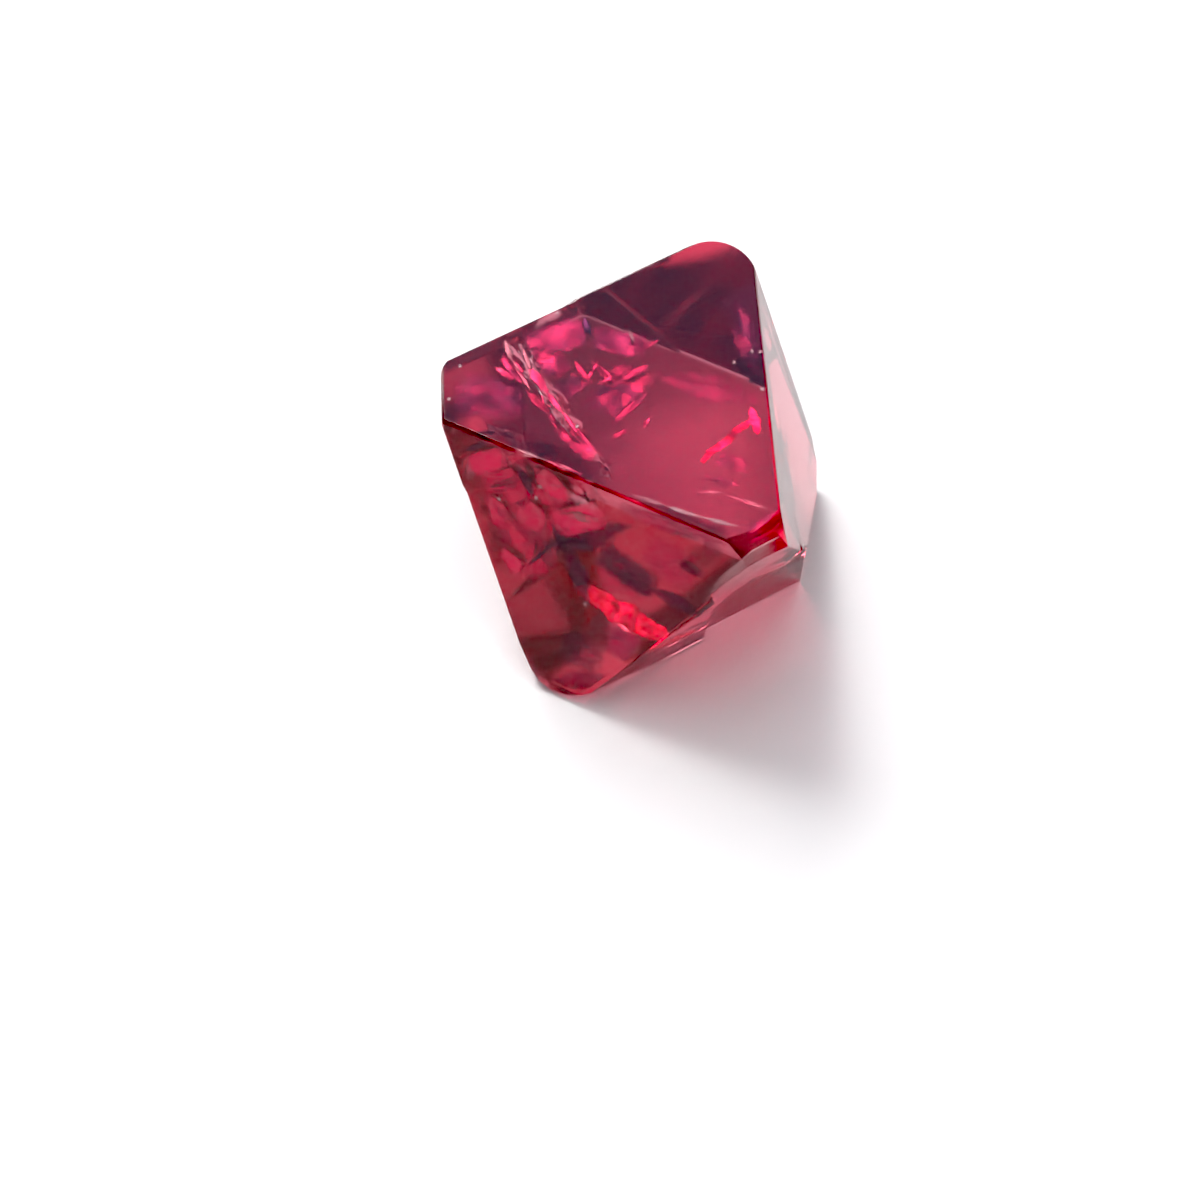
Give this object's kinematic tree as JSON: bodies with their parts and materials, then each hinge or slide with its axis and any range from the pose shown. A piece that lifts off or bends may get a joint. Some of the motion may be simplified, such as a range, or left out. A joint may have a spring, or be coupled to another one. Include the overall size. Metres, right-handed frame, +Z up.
{
  "type": "spinel crystal",
  "caption": "Loose, clear red spinel crystal: a flattened, malformed octahedron with rounded corners, worn edges and small chips, lying on one of its flat faces",
  "frame": {"origin": "middle of the footprint's box, on the surface that the crystal lies on", "axes": "+Z up, square to the two level faces; +X along the long front edge of the top face; +Y from that edge to the far rounded corner"},
  "size_m": [0.0076, 0.0086, 0.0047],
  "materials": {
    "red_spinel": "clear, polished by nature"
  },
  "bodies": {
    "root": {"spinel_crystal": "red_spinel"}
  },
  "joints": []
}
